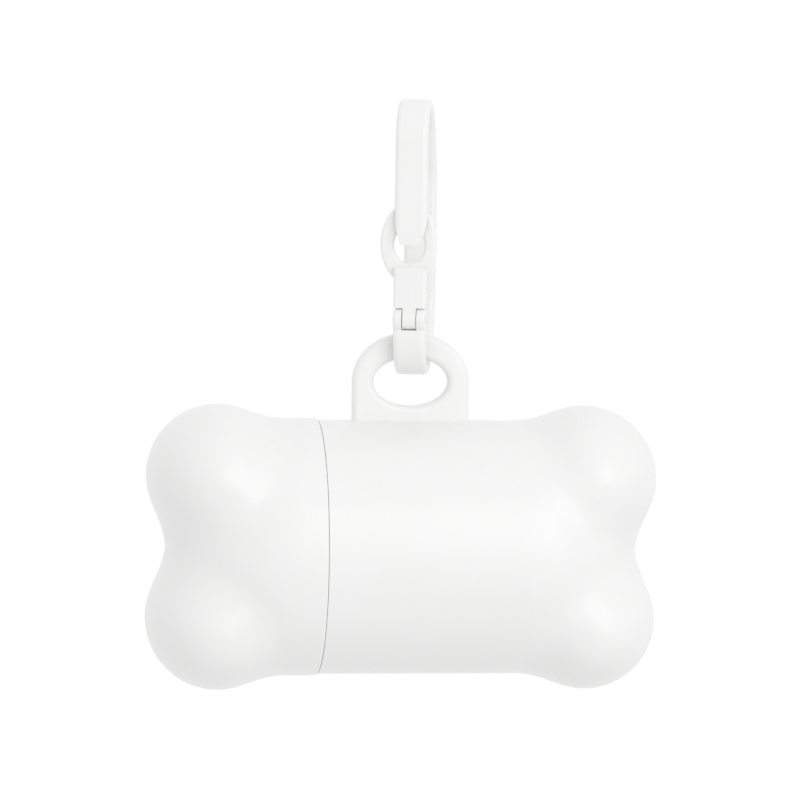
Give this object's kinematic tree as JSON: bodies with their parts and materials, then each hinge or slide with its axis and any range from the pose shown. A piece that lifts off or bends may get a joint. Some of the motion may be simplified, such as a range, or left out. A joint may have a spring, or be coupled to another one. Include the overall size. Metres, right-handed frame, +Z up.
{
  "type": "waste bag dispenser",
  "caption": "Bone-shaped white plastic case with a pull-off cap that feeds rolled waste bags through a slot and hangs from a spring-gate clip.",
  "frame": {"origin": "on the barrel's axis, midway between the bone's two ends", "axes": "+X along the bone from the cap to the closed end, +Y to the back where the bag slot is, +Z up through the hanging loop and the clip"},
  "size_m": [0.084, 0.0454, 0.0969],
  "materials": {
    "case_plastic": "satin white moulding",
    "clip_plastic": "satin white moulding",
    "bag_film": "thin black film",
    "core_card": "wound brown card",
    "pin_steel": "drawn wire and strip"
  },
  "bodies": {
    "clip": {"clip_hook": "clip_plastic", "gate_pin": "pin_steel", "gate_spring": "pin_steel"},
    "gate": {"clip_gate": "clip_plastic"},
    "case": {"main_body": "case_plastic", "lead_bag": "bag_film"},
    "cap": {"end_cap": "case_plastic"},
    "roll": {"bag_roll": "bag_film", "roll_core": "core_card"}
  },
  "joints": [
    {"name": "case_swing", "type": "hinge", "parent": "clip", "child": "case", "pos_m": [0.0012, 0, 0.0333], "axis": [1, 0, 0], "range_deg": [-90, 70]},
    {"name": "gate_swing", "type": "hinge", "parent": "clip", "child": "gate", "pos_m": [0.00028, -0.00543, 0.03771], "axis": [-0.9774, 0.2113, 0], "range_deg": [0, 30], "stiffness_Nm_per_rad": 0.02, "springref_deg": -17.19, "deforming": ["gate_spring"]},
    {"name": "cap_pull", "type": "slide", "parent": "case", "child": "cap", "axis": [-1, 0, 0], "range_m": [0, 0.06]},
    {"name": "roll_spin", "type": "hinge", "parent": "case", "child": "roll", "pos_m": [-0.0003, 0, -0.0023], "axis": [1, 0, 0], "continuous": true}
  ]
}
